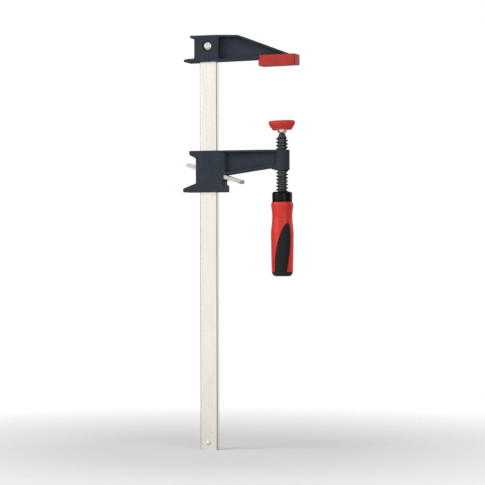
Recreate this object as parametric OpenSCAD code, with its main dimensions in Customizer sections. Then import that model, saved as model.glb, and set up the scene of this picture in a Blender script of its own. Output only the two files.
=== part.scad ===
// Clutch-style bar clamp (F clamp), 300 mm opening, 63 mm throat.
// Millimetres. +Z runs up the bar to the fixed jaw, +X points into the throat.
// The origin is the centre of the bar's free end face.

/* [Bar] */
// Width of the bar, across the throat direction
bar_w = 17; // [15:0.5:18]
// Thickness of the bar
bar_t = 6.5; // [5:0.5:7]
// Length of the bar
bar_len = 390.5; // [386:0.5:391]
// Rounding of the bar's long edges
bar_edge_r = 0.8; // [0.6:0.2:2]

/* [Castings] */
// Height of the top of the fixed jaw
jaw_top = 392.8; // [392:0.1:396]
// Height of the underside of the fixed jaw
jaw_bottom = 367.8; // [367:0.1:369]
// Angle by which the fixed jaw rises towards its tip, in degrees
jaw_lean = 1.1; // [0:0.1:2]
// Half the depth of both castings
cast_half = 8.9; // [8.6:0.1:10]
// Half the thickness of the recessed webs
web_half = 2.7; // [2:0.1:3.5]
// Thickness of the flanges round the recesses
flange_t = 2; // [1.5:0.1:2.5]
// Height of the top of the sliding arm at rest
arm_top = 283.6; // [283:0.1:285]
// Height of the underside of the sliding arm's column
arm_bottom = 244.3; // [244:0.1:246]
// Running clearance of the bar in the sliding arm, each side
bar_gap = 0.25; // [0.2:0.05:0.3]

/* [Clutch] */
// Angle of the gripping clutch plates below level, in degrees
clutch_tilt = 17.5; // [17:0.1:18]
// Thickness of one clutch plate
plate_t = 1.8; // [1.5:0.1:1.8]
// Width of a clutch plate
plate_w = 14; // [13:0.2:14.2]

/* [Screw] */
// Distance from the bar's centre line to the screw
screw_x = 72.1; // [71:0.1:73]
// Outside diameter of the screw thread
thread_d = 11.4; // [10.8:0.1:11.6]
// Pitch of the screw thread
thread_pitch = 3.175; // [3:0.025:3.4]
// Depth of the screw thread
thread_depth = 1.5; // [1:0.05:1.6]
// Outside diameter of the boss that carries the screw
boss_d = 14.2; // [14:0.1:16]
// Angle at which the swivel cap leans at rest, in degrees
cap_lean = 2.2; // [0:0.1:4]

/* [Handle] */
// Largest radius of the red grip
grip_r = 10.7; // [10.3:0.05:11]
// Radius at the grip's waist
waist_r = 9.6; // [9.3:0.05:9.9]
// Depth of the soft insets in the grip
inset_t = 1.1; // [0.8:0.1:1.2]
// Angle round the screw at which the front inset faces, in degrees
inset_turn = 18; // [0:1:40]

/* [Hidden] */
$fn = 64;
eps = 0.01;

iron = [0.2, 0.23, 0.27];
steel = [0.86, 0.85, 0.82];
black_steel = [0.16, 0.16, 0.17];
red = [0.76, 0.2, 0.17];
black = [0.09, 0.09, 0.1];

// Fixed jaw
jaw_col = 12.2;         // half the width of the column round the bar
jaw_kink_x = 31;        // where the top flange starts to slope down
jaw_kink_drop = 0.7;    // fall of the top face up to there
jaw_end = [84.5, 371.8]; // end of the slope, inside the pad
jaw_lip_x = -16.7;
jaw_lip_t = 2.6;
jaw_foot_x = -22;
jaw_roof = jaw_top - bar_len;
seat_x = 53.6;
tip = [seat_x, jaw_bottom + (seat_x + jaw_col) * tan(jaw_lean)];
seat_drop = 4.1;        // from the tip corner down to the pad seat's underside
seat_half = 6.8;
rivet_pos = [1.2, 382.4];
rivet_d = 6;
rivet_head_d = 7.6;
rivet_pocket_d = 9.8;
rivet_pocket_depth = 0.9;

// Jaw pad, measured from the jaw's tip corner along its lean
pad_x = [-2.5, 33.7];
pad_z = [-6.5, 3.2];
pad_half = 9;
pad_wall = 2.2;
pad_corner = 2.5;

// Stop pin at the free end of the bar
stop_z = 6.5;
stop_d = 3;
stop_head_d = 4.1;
stop_head_t = 0.8;

// Sliding arm
arm_col = 10.8;
fair = [[17.5, 7.7], [20.7, web_half]]; // plan of the fairing from the column back to the web
arm_root = [17.4, 260.5];
arm_tip = [61.2, 266.7];
neck_half = 6.3;        // half the depth of the flanges where they meet the boss
boss_z = [264.4, arm_top];
lip_x = -17.5;
foot_x = -23.8;
toe_x = 17.1;
toe_step_x = 15.2;
toe_top = arm_bottom + 7.1;
cheek_x = 16.5;
way_floor = 255.6;
mouth_half = plate_w / 2 + 0.25;
pocket_floor = 252.4;

// Clutch plates: they rock on the arm's root corner, which is the hinge line
pivot = [arm_root[0], arm_root[1] - 0.02];
plate_gap = 0.13;       // from the hinge line down to the upper plate
plate_right = 16.8;     // from the hinge line along the plates, each way
plate_left = 39.9;
window_near = 8.05;
window_far = 27.4;
window_w = bar_t + 0.5;

// Clutch springs, one on each side of the bar
spring_x = -6.5;
spring_y = 5.4;
spring_r = 1.45;
wire_r = 0.28;
spring_turns = 6;
spring_top = 263.4;

// Swivel: ball on the screw, steel socket round it, cap on the socket
ball_z = 302.9;
ball_r = 3.8;
socket_r = 4.85;
fit = 0.05;
neck_r = 2.2;
socket_mouth_r = 3;
cap_top = ball_z + 7.8;
cap_bottom = ball_z - 0.6;
cap_r = 12.4;

// Screw and handle
thread_top = 295;
thread_end = 238;
shank_r = 4;
shank_end = 178;
collar_z = [234.5, 244.3];
collar_r = 9.5;
core_r = 6.6;
grip_z = [169, 234.5];
end_z = 164.9;

// One point of a cubic curve through the four control points
function curve(p, t) = pow(1 - t, 3) * p[0] + 3 * t * pow(1 - t, 2) * p[1]
    + 3 * t * t * (1 - t) * p[2] + pow(t, 3) * p[3];

// An outline drawn in X and Z, given depth along Y, centred on Y = 0
module slab(depth) {
    translate([0, depth / 2, 0]) rotate([90, 0, 0]) linear_extrude(depth) children();
}

// A rectangle whose four corners are rounded
module round_rect(w, h, r) {
    square([w - 2 * r, h], center = true);
    square([w, h - 2 * r], center = true);
    for (sx = [-1, 1], sy = [-1, 1]) translate([sx * (w / 2 - r), sy * (h / 2 - r)]) circle(r);
}

// A round bar lying along Y, centred on Y = 0
module cross_pin(d, length) {
    rotate([90, 0, 0]) cylinder(h = length, d = d, center = true);
}

module bar() {
    color(steel) difference() {
        linear_extrude(bar_len) round_rect(bar_w, bar_t, bar_edge_r);
        translate([rivet_pos[0], 0, rivet_pos[1]]) cross_pin(rivet_d + 2 * fit, bar_t + 1);
        translate([0, 0, stop_z]) cross_pin(stop_d + 2 * fit, bar_t + 1);
    }
}

module bar_stop_pin() {
    color(steel) translate([0, 0, stop_z]) {
        cross_pin(stop_d, bar_t + 2 * stop_head_t);
        for (side = [-1, 1]) translate([0, side * (bar_t + stop_head_t) / 2, 0])
            cross_pin(stop_head_d, stop_head_t);
    }
}

// Height of the fixed jaw's underside
function under_jaw(x) = jaw_bottom + (x + jaw_col) * tan(jaw_lean);

// Places what is measured from the jaw's tip corner
module at_tip() {
    translate([tip[0], 0, tip[1]]) rotate([0, -jaw_lean, 0]) children();
}

// Side outline of the fixed jaw, from the back foot round to the tip
module jaw_outline() {
    polygon([[-jaw_col, jaw_bottom], [jaw_foot_x + 0.6, jaw_bottom - 0.2],
        [jaw_foot_x - 0.6, jaw_bottom + 0.3], [jaw_foot_x - 0.9, jaw_bottom + 1.2],
        [jaw_foot_x - 0.3, jaw_bottom + 2.3], [jaw_foot_x + 1.6, jaw_bottom + 2.9],
        [-jaw_col, jaw_bottom + 3.4],
        [-jaw_col, jaw_top - jaw_lip_t - 0.9], [jaw_lip_x + 1.2, jaw_top - jaw_lip_t],
        [jaw_lip_x, jaw_top - jaw_lip_t + 1.1], [jaw_lip_x + 0.2, jaw_top - 0.3], [jaw_lip_x + 1, jaw_top],
        [jaw_col, jaw_top], [jaw_kink_x, jaw_top - jaw_kink_drop], jaw_end,
        [jaw_end[0] - 0.5, under_jaw(jaw_end[0])]]);
}

// The recess between the flanges, on the throat side of the column
module jaw_recess() {
    kink_z = jaw_top - jaw_kink_drop;
    slope = (kink_z - jaw_end[1]) / (jaw_end[0] - jaw_kink_x);
    drop = flange_t * sqrt(1 + slope * slope);
    end_x = jaw_end[0] - 9;
    polygon([[jaw_col, under_jaw(jaw_col) + flange_t], [jaw_col, jaw_top - flange_t],
        [jaw_kink_x, kink_z - drop], [end_x, kink_z - drop - slope * (end_x - jaw_kink_x)],
        [end_x, under_jaw(end_x) + flange_t]]);
}

module fixed_jaw() {
    recess_depth = cast_half - web_half;
    color(iron) difference() {
        union() {
            slab(2 * cast_half) intersection() {
                jaw_outline();
                translate([-40, jaw_bottom - 1]) square([40 + seat_x - 1, 40]);
            }
            slab(2 * seat_half) {
                intersection() {
                    jaw_outline();
                    translate([seat_x - 2, jaw_bottom - 1]) square([60, 40]);
                }
                translate(tip) rotate(jaw_lean) translate([0, -seat_drop])
                    square([jaw_end[0] - seat_x, seat_drop + 1]);
            }
        }
        for (side = [-1, 1]) translate([0, side * (web_half + recess_depth / 2 + 0.5), 0])
            slab(recess_depth + 1) jaw_recess();
        translate([0, 0, -jaw_roof - 1]) linear_extrude(bar_len + jaw_roof + 1 + fit)
            round_rect(bar_w + 2 * fit, bar_t + 2 * fit, bar_edge_r);
        translate([rivet_pos[0], 0, rivet_pos[1]]) {
            cross_pin(rivet_d + 2 * fit, 2 * cast_half + 1);
            for (side = [-1, 1]) translate([0, side * cast_half, 0])
                cross_pin(rivet_pocket_d, 2 * rivet_pocket_depth);
        }
    }
}

module jaw_rivet() {
    head_base = cast_half - rivet_pocket_depth;
    color(steel) translate([rivet_pos[0], 0, rivet_pos[1]]) {
        cross_pin(rivet_d, 2 * head_base);
        for (side = [-1, 1]) rotate([side * 90, 0, 0]) translate([0, 0, head_base - eps])
            rotate_extrude() polygon([[0, 0], [rivet_head_d / 2, 0], [rivet_head_d / 2, 0.6],
                [rivet_head_d / 2 - 0.8, 1.1], [0, 1.5]]);
    }
}

module jaw_pad() {
    length = pad_x[1] - pad_x[0];
    color(red) at_tip() difference() {
        translate([(pad_x[0] + pad_x[1]) / 2, 0, pad_z[0]]) linear_extrude(pad_z[1] - pad_z[0])
            round_rect(length, 2 * pad_half, pad_corner);
        translate([-0.1, -seat_half - fit, -seat_drop - fit])
            cube([jaw_end[0] - seat_x + 0.3, 2 * (seat_half + fit), 20]);
        translate([-0.7, -seat_half - fit, -0.4]) cube([1, 2 * (seat_half + fit), 20]);
        translate([pad_x[0] - 1, -cast_half, -0.4]) cube([0.5 - pad_x[0], 2 * cast_half, 20]);
    }
}

// Side outline of the sliding arm without its boss
module arm_outline() {
    polygon([[foot_x + 0.6, arm_bottom], [foot_x, arm_bottom + 1.2], [foot_x + 0.1, arm_bottom + 2.9],
        [foot_x + 1.2, arm_bottom + 4.1], [-arm_col, arm_bottom + 8.5], [-arm_col, arm_top - 8],
        [-arm_col - 1.2, arm_top - 6.6], [lip_x + 1.4, arm_top - 4.7], [lip_x + 0.1, arm_top - 3.4],
        [lip_x, arm_top - 0.4], [lip_x + 0.4, arm_top], [screw_x, arm_top], [screw_x, boss_z[0] + 0.5],
        [arm_tip[0] + 3.5, boss_z[0] + 0.5], arm_tip, arm_root, [cheek_x, arm_root[1] + 0.5],
        [cheek_x, way_floor], [toe_step_x, way_floor - 0.8], [toe_step_x, toe_top],
        [toe_x - 0.6, toe_top - 0.5], [toe_x, toe_top - 1.3], [toe_x, arm_bottom + 0.5],
        [toe_x - 0.5, arm_bottom]]);
}

// The recess between the arm's flanges
module arm_recess() {
    rise = (arm_tip[1] - arm_root[1]) / (arm_tip[0] - arm_root[0]);
    left = fair[0][0];
    right = screw_x - 3;
    floor_z = arm_root[1] + flange_t + 0.2;
    polygon([[left, floor_z], [left, arm_top - flange_t], [right, arm_top - flange_t],
        [right, floor_z + rise * (right - left)]]);
}

// What is taken off one side of the arm: the column's fairing and the recess beyond it
module arm_side_cut() {
    deep = cast_half + 2;
    translate([0, 0, toe_top]) linear_extrude(arm_top - flange_t - toe_top)
        polygon([[arm_col, -cast_half], [arm_col, -deep], [fair[0][0], -deep], [fair[0][0], -fair[0][1]]]);
    intersection() {
        translate([0, -(web_half + deep) / 2, 0]) slab(deep - web_half) arm_recess();
        translate([0, 0, arm_bottom]) linear_extrude(arm_top - arm_bottom)
            polygon([[fair[1][0], -fair[1][1]], [fair[0][0], -fair[0][1]],
                [fair[0][0] - eps, -deep], [90, -deep], [90, -web_half]]);
    }
}

// The way the clutch plates take through the column, with room to rock
module clutch_way() {
    polygon([[-30, 258], [-9.6, 258], [-9.6, pocket_floor], [9.6, pocket_floor], [9.6, way_floor],
        [toe_x + 2, way_floor], [toe_x + 2, arm_root[1] - 2], arm_root, [-arm_col, 271.5], [-30, 271.5]]);
}

module sliding_arm() {
    color(iron) difference() {
        union() {
            difference() {
                intersection() {
                    slab(2 * cast_half) arm_outline();
                    translate([0, 0, arm_bottom - 1]) linear_extrude(arm_top - arm_bottom + 2)
                        for (side = [-1, 1]) polygon([[-40, 0], [-40, side * cast_half],
                            [arm_tip[0] - 4, side * cast_half], [arm_tip[0] + 6, side * neck_half],
                            [screw_x, side * neck_half], [screw_x, 0]]);
                }
                for (side = [0, 1]) mirror([0, side, 0]) arm_side_cut();
            }
            translate([screw_x, 0, boss_z[0]]) cylinder(h = boss_z[1] - boss_z[0], d = boss_d);
        }
        translate([0, 0, arm_bottom - 1]) linear_extrude(arm_top - arm_bottom + 2)
            round_rect(bar_w + 2 * bar_gap, bar_t + 2 * bar_gap, bar_edge_r);
        slab(2 * mouth_half) clutch_way();
        translate([screw_x, 0, boss_z[0] - 1]) cylinder(h = boss_z[1] - boss_z[0] + 2, d = thread_d + 0.18);
    }
}

// One clutch plate, counted down from the hinge line, with its window for the bar
module clutch_plate(number) {
    translate([pivot[0], 0, pivot[1]]) rotate([0, clutch_tilt, 0])
        translate([0, 0, -plate_gap - (number + 1) * plate_t]) difference() {
            translate([(plate_right - plate_left) / 2, 0, 0]) linear_extrude(plate_t - 0.02)
                round_rect(plate_left + plate_right, plate_w, 0.8);
            translate([-window_far, -window_w / 2, -1])
                cube([window_far - window_near, window_w, plate_t + 2]);
        }
}

module clutch_plate_upper() {
    color(steel) clutch_plate(0);
}

module clutch_plate_lower() {
    color(steel) clutch_plate(1);
}

// A round wire wound into a coil that stands on the pocket floor
module coil(turns, height) {
    sides = 6;
    steps = turns * 10;
    rise = height - 2 * wire_r;
    rings = [for (i = [0:steps], j = [0:sides - 1])
        let (a = 360 * turns * i / steps, b = 360 * j / sides, r = spring_r + wire_r * cos(b))
            [r * cos(a), r * sin(a), wire_r + rise * i / steps + wire_r * sin(b)]];
    walls = [for (i = [0:steps - 1], j = [0:sides - 1]) let (k = (j + 1) % sides)
        [i * sides + j, (i + 1) * sides + j, (i + 1) * sides + k, i * sides + k]];
    first = [for (j = [0:sides - 1]) j];
    last = [for (j = [0:sides - 1]) steps * sides + sides - 1 - j];
    polyhedron(rings, concat(walls, [first], [last]), convexity = 10);
}

module clutch_springs() {
    color(steel) for (side = [-1, 1]) translate([spring_x, side * spring_y, pocket_floor + fit])
        coil(spring_turns, spring_top - pocket_floor - fit);
}

module swivel_socket() {
    color(steel) translate([screw_x, 0, ball_z]) difference() {
        sphere(socket_r);
        sphere(ball_r + fit);
        translate([0, 0, -socket_r - 1]) cylinder(h = socket_r, r = socket_mouth_r);
    }
}

module swivel_cap() {
    top = cap_top - ball_z;
    base = cap_bottom - ball_z;
    color(red) translate([screw_x, 0, ball_z]) rotate([0, -cap_lean, 0]) difference() {
        rotate_extrude() polygon([[0, base], [9.1, base], [9.5, base + 0.5], [10.4, base + 1.6],
            [12.2, base + 4.6], [cap_r, base + 5.3], [cap_r, top - 0.7], [cap_r - 0.5, top], [0, top]]);
        sphere(socket_r + fit);
        translate([0, 0, base - 1]) cylinder(h = 1.2, r = socket_r + fit);
    }
}

// Outline of the threaded length, as evenly spaced crests
module thread_profile() {
    root_r = thread_d / 2 - thread_depth;
    crests = floor((thread_top - thread_end) / thread_pitch);
    polygon(concat([[0, thread_end], [root_r, thread_end]],
        [for (i = [0:crests - 1], p = [[0, 0.35], [1, 1.35], [1, 1.8], [0, 2.8]])
            [root_r + p[0] * thread_depth, thread_top - (crests - i) * thread_pitch + p[1]]],
        [[root_r, thread_top], [0, thread_top]]));
}

module spindle() {
    cone_top = ball_z - 4.4;
    color(black_steel) translate([screw_x, 0, 0]) {
        rotate_extrude() thread_profile();
        translate([0, 0, shank_end]) cylinder(h = thread_end - shank_end + eps, r = shank_r);
        translate([0, 0, thread_top - eps])
            cylinder(h = cone_top - thread_top, r1 = thread_d / 2 - thread_depth, r2 = neck_r + 0.7);
        translate([0, 0, cone_top - 0.1]) cylinder(h = ball_z - cone_top, r = neck_r);
        translate([0, 0, ball_z]) sphere(ball_r);
    }
}

// Black hard core: the collar that shows above the grip, and the tube inside it
module handle_core() {
    color(black) translate([screw_x, 0, 0]) difference() {
        rotate_extrude() polygon([[0, grip_z[0]], [core_r, grip_z[0]], [core_r, collar_z[0]],
            [collar_r, collar_z[0]], [collar_r, collar_z[1] - 1.4], [collar_r - 0.5, collar_z[1] - 0.4],
            [collar_r - 1.5, collar_z[1]], [0, collar_z[1]]]);
        translate([0, 0, shank_end - fit]) cylinder(h = 80, r = shank_r + fit);
        translate([0, 0, thread_end - fit]) cylinder(h = 20, d = thread_d + 2 * fit);
    }
}

// Outer line of the grip, from its foot to its shoulder, drawn in two curves
function grip_line(inward) = let (steps = 7,
        low = [[10, grip_z[0]], [10.45, 179], [grip_r - 0.15, 192], [grip_r, 202]],
        high = [[grip_r, 202], [grip_r + 0.6, 210.5], [waist_r - 1.6, 217.5], [10.5, 230.5]])
    [for (c = [low, high], i = [c == low ? 0 : 1:steps]) curve(c, i / steps) - [inward, 0]];

module grip_solid(inward) {
    shoulder = [for (p = [[10.55, 231.4], [10.4, 232.9], [10.15, 233.7], [9.7, grip_z[1]]])
        p - [inward, 0]];
    rotate_extrude() polygon(concat([[0, grip_z[0]]], grip_line(inward), shoulder, [[0, grip_z[1]]]));
}

// Leaf outline of a soft inset, seen square on: across the grip, then up it
module leaf() {
    steps = 8;
    left = [[5, 214.9], [-0.5, 214.5], [-8.5, 193], [-7.4, grip_z[0] - 1]];
    right = [[4, grip_z[0] - 1], [8.6, 190], [9.2, 213], [5, 214.9]];
    polygon(concat([for (i = [0:steps]) curve(left, i / steps)],
        [for (i = [0:steps - 1]) curve(right, i / steps)]));
}

// The half of the grip that one leaf outline cuts through, at the given turn
module leaf_cut(turn) {
    rotate([0, 0, turn]) rotate([90, 0, 0]) linear_extrude(20) leaf();
}

module inset(turn) {
    intersection() {
        difference() {
            grip_solid(0);
            grip_solid(inset_t);
        }
        leaf_cut(turn);
    }
}

module handle_grip() {
    color(red) translate([screw_x, 0, 0]) difference() {
        grip_solid(0);
        translate([0, 0, grip_z[0] - 1]) cylinder(h = 80, r = core_r + fit);
        for (turn = [inset_turn, inset_turn + 180]) inset(turn);
    }
}

module grip_inset_front() {
    color(black) translate([screw_x, 0, 0]) inset(inset_turn);
}

module grip_inset_back() {
    color(black) translate([screw_x, 0, 0]) inset(inset_turn + 180);
}

module handle_end_cap() {
    color(black) translate([screw_x, 0, 0]) rotate_extrude()
        polygon([[0, end_z], [6.2, end_z], [7.5, end_z + 0.6], [8.7, end_z + 1.6], [9.5, end_z + 2.7],
            [9.9, grip_z[0] - 0.4], [10, grip_z[0]], [0, grip_z[0]]]);
}

bar();
bar_stop_pin();
fixed_jaw();
jaw_rivet();
jaw_pad();
sliding_arm();
clutch_plate_upper();
clutch_plate_lower();
clutch_springs();
swivel_socket();
swivel_cap();
spindle();
handle_core();
handle_grip();
grip_inset_front();
grip_inset_back();
handle_end_cap();
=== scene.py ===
"""An F clamp: cast jaws on a flat steel bar, a clutch-held arm and a screw with a moulded handle."""

from math import asin, cos, pi, radians, sin, sqrt, tan, tau

import bmesh
import bpy
from bpy.props import FloatProperty, FloatVectorProperty, IntProperty, PointerProperty
from mathutils import Matrix, Vector


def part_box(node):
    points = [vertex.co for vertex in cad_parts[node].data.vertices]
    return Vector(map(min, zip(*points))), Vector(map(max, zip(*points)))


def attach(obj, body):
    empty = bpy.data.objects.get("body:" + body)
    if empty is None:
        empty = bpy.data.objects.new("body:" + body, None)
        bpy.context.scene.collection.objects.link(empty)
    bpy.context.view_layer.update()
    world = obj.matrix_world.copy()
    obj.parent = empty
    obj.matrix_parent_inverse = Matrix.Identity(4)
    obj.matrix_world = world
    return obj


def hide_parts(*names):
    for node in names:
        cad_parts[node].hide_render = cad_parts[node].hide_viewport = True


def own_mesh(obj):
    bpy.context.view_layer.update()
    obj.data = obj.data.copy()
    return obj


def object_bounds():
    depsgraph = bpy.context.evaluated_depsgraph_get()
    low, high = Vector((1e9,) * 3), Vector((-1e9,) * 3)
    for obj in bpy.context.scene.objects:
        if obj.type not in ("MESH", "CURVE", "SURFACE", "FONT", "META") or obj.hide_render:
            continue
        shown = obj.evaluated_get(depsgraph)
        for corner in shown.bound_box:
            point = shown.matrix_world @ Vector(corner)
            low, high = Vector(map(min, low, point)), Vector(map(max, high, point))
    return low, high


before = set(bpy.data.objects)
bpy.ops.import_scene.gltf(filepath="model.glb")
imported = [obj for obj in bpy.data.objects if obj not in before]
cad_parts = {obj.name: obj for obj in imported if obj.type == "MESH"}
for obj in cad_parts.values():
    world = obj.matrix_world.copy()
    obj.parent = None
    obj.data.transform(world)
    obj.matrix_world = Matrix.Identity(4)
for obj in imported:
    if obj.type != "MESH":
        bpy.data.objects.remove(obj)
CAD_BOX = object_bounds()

bl_info = {
    "name": "F clamp",
    "version": (1, 0, 0),
    "blender": (4, 5, 0),
    "location": "3D View > Sidebar > F clamp",
    "description": "Builds the finished pieces of an F clamp round its packed frame",
    "category": "Object",
}

MM = 0.001
ARC_STEPS = 6


def linear(code):
    """The linear colour of an sRGB hex code such as "#c43a33"."""
    parts = [int(code[i:i + 2], 16) / 255 for i in (1, 3, 5)]
    return tuple(p / 12.92 if p <= 0.04045 else ((p + 0.055) / 1.055) ** 2.4 for p in parts)


def centre(node):
    """The middle of a CAD node's box."""
    low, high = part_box(node)
    return (low + high) / 2


def span(node):
    """The size of a CAD node's box along X, Y and Z."""
    low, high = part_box(node)
    return high - low


def colour(name, about, code):
    """A colour property, its default given in sRGB hex."""
    return FloatVectorProperty(name=name, description=about, subtype="COLOR", size=3, min=0, max=1,
                               default=linear(code))


def length(name, about, millimetres):
    """A length property, its default given in millimetres."""
    return FloatProperty(name=name, description=about, unit="LENGTH", default=millimetres * MM, min=0)


# ---------------------------------------------------------------- settings


class ClampSizes(bpy.types.PropertyGroup):
    """Sizes of what the frame leaves to the finish."""
    cast_grain: length("Casting grain", "Cell size in which the castings' edges are softened", 0.4)
    cast_passes: IntProperty(name="Casting softness", description="Smoothing passes on the castings",
                             default=5)
    stamped_edge: length("Stamped edge", "Rounding of sheared and stamped steel edges", 0.18)
    pad_edge: length("Pad edge", "Rounding of the jaw pad's moulded edges", 0.7)
    thread_pitch: length("Thread pitch", "Advance of the screw in one turn", 3.175)
    thread_depth: length("Thread depth", "Depth of the screw's thread", 1.6)
    wire: length("Spring wire", "Thickness of the clutch springs' wire", 0.6)
    spring_turns: IntProperty(name="Spring turns", description="Turns in each clutch spring", default=7)
    inset_depth: length("Inset depth", "Depth of the pockets for the soft insets", 1.05)
    inset_gap: length("Inset gap", "Width of the line between an inset and the grip", 0.16)
    cap_lean: FloatProperty(name="Cap lean", description="Angle at which the swivel cap rests",
                            subtype="ANGLE", default=radians(2.2))
    inset_turn: FloatProperty(name="Inset turn", description="Angle that the front inset faces",
                              subtype="ANGLE", default=radians(18))


class ClampColours(bpy.types.PropertyGroup):
    """Colours of the finishes."""
    iron_coat: colour("Iron coat", "Powder coat on the castings", "#29313a")
    zinc: colour("Zinc", "Bright zinc plate on the bar", "#f3efe8")
    bright_steel: colour("Bright steel", "Stamped and headed steel parts", "#d6d3cb")
    socket_steel: colour("Socket steel", "Polished nickel on the swivel's socket", "#f8f2e6")
    black_oxide: colour("Black oxide", "Oiled black oxide on the screw", "#505153")
    spring_steel: colour("Spring steel", "Drawn spring wire", "#a5a6a8")
    pad_red: colour("Pad red", "Soft vinyl of the jaw pad", "#b02d24")
    cap_red: colour("Cap red", "Soft vinyl of the swivel cap", "#cb3a31")
    grip_red: colour("Grip red", "Hard plastic of the grip", "#d22e26")
    core_black: colour("Core black", "Hard black plastic of the collar and end cap", "#0a0a0c")
    # Painted light: the end cap's black is a lighter copy of the core's, standing in for the light that
    # reaches it from below
    end_black_painted_lighter: colour("End black", "Satin black plastic of the end cap", "#16161a")
    soft_black: colour("Soft black", "Soft-touch insets", "#161415")
    floor: colour("Floor", "Pale studio floor", "#fafafa")


# ---------------------------------------------------------------- materials


MULTIPLY = {"data_type": "RGBA", "blend_type": "MULTIPLY"}


def add(tree, kind, settings=None, links=None):
    """Adds one shader node. Its links name what feeds each input: a socket, or a node's first output."""
    made = tree.nodes.new("ShaderNode" + kind)
    for name, value in (settings or {}).items():
        if name == "stops":
            set_stops(made.color_ramp.elements, value)
        elif isinstance(name, int) or name in made.inputs:
            made.inputs[name].default_value = value
        else:
            setattr(made, name, value)
    for name, source in (links or {}).items():
        socket = source.outputs[0] if isinstance(source, bpy.types.Node) else source
        tree.links.new(socket, made.inputs[name])
    return made


def set_stops(elements, stops):
    """Gives a colour ramp its stops, each a place from 0 to 1 and a linear colour."""
    while len(elements) < len(stops):
        elements.new(0.5)
    for element, (where, tint) in zip(elements, stops):
        element.position = where
        element.color = (*tint, 1)


def grain(size_mm, detail=3.0, roughness=0.55):
    """Settings for noise whose features are about size_mm wide."""
    return {"Scale": 1 / (size_mm * MM), "Detail": detail, "Roughness": roughness}


def between(low, high, start=0.3, end=0.7):
    """Settings that turn a pattern into values from low to high. Most of a noise lies from 0.3 to 0.7."""
    return {"From Min": start, "From Max": end, "To Min": low, "To Max": high}


def shades(tint, dark, light, start=0.3, end=0.7):
    """Ramp settings from a darker to a lighter shade of a colour."""
    ends = ((start, dark), (end, light))
    return {"stops": [(where, tuple(min(1.0, part * factor) for part in tint)) for where, factor in ends]}


def greys(*stops):
    """Ramp settings from (place, grey) stops."""
    return {"stops": [(where, (grey, grey, grey)) for where, grey in stops]}


def relief(strength, height_mm):
    """Settings for a bump of a real height."""
    return {"Strength": strength, "Distance": height_mm * MM}


def start_material(name):
    """A material with an empty tree, and the object coordinates that its patterns read."""
    material = bpy.data.materials.new(name)
    material.use_nodes = True
    tree = material.node_tree
    tree.nodes.clear()
    return material, tree, add(tree, "TexCoord").outputs["Object"]


def surface(tree, settings, links):
    """Ends a material in one Principled shader."""
    shader = add(tree, "BsdfPrincipled", settings, links)
    add(tree, "OutputMaterial", links={"Surface": shader})


def painted_pocket_shade(tree, place):
    """A pattern that is 1 in the pocket round the jaw's rivet, where shade is painted dark, and 0 outside
    it.
    """
    where = centre("jaw_rivet")
    aside = add(tree, "VectorMath", {"operation": "SUBTRACT", 1: (where.x, 0, where.z)}, {0: place})
    flat = add(tree, "VectorMath", {"operation": "MULTIPLY", 1: (1, 0, 1)}, {0: aside})
    away = add(tree, "VectorMath", {"operation": "LENGTH"}, {0: flat}).outputs["Value"]
    return add(tree, "MapRange", between(1, 0, 4.6 * MM, 5.1 * MM), {"Value": away})


def powder_coated_iron(tint):
    """Sand cast ductile iron, powder coated: low sheen, orange peel over sand grain, a parting line and
    painted shade round the rivet.
    """
    material, tree, place = start_material("powder_coated_iron")
    peel = add(tree, "TexNoise", grain(0.9, 2), {"Vector": place})
    sand = add(tree, "TexNoise", grain(2.2, 4), {"Vector": place})
    drift = add(tree, "TexNoise", grain(14, 4), {"Vector": place})
    across = add(tree, "SeparateXYZ", links={"Vector": place}).outputs["Y"]
    off_line = add(tree, "Math", {"operation": "ABSOLUTE"}, {0: across})
    parting = add(tree, "MapRange", between(1, 0, 0.15 * MM, 0.5 * MM), {"Value": off_line})
    coat = add(tree, "ValToRGB", shades(tint, 0.82, 1.22), {"Fac": drift})
    # Painted shade: the pocket round the rivet is darkened towards near black, as if in shadow
    pocket_shaded = add(tree, "Mix", {**MULTIPLY, 7: (0.12, 0.11, 0.1, 1)}, {0: painted_pocket_shade(tree, place), 6: coat})
    gloss = add(tree, "MapRange", between(0.5, 0.66), {"Value": sand})
    ridge = add(tree, "Bump", relief(0.7, 0.12), {"Height": parting})
    cast = add(tree, "Bump", relief(0.4, 0.16), {"Height": sand, "Normal": ridge})
    skin = add(tree, "Bump", relief(0.3, 0.06), {"Height": peel, "Normal": cast})
    surface(tree, {"Specular IOR Level": 0.18},
            {"Base Color": pocket_shaded.outputs[2], "Roughness": gloss, "Normal": skin})
    return material


def painted_corner_shade(tree, place):
    """A pattern that is 1 on the bar's rounded corners, where shade is painted darker, and 0 on its flats.
    """
    axes = add(tree, "SeparateXYZ", links={"Vector": place}).outputs
    half = span("bar") / 2
    past = []
    for axis, reach in (("X", half.x - 0.85 * MM), ("Y", half.y - 1.1 * MM)):
        out = add(tree, "Math", {"operation": "ABSOLUTE"}, {0: axes[axis]})
        past.append(add(tree, "Math", {"operation": "SUBTRACT", 1: reach}, {0: out}))
    nearer = add(tree, "Math", {"operation": "MINIMUM"}, {0: past[0], 1: past[1]})
    return add(tree, "MapRange", between(0, 1, 0, 0.3 * MM), {"Value": nearer})


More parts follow.
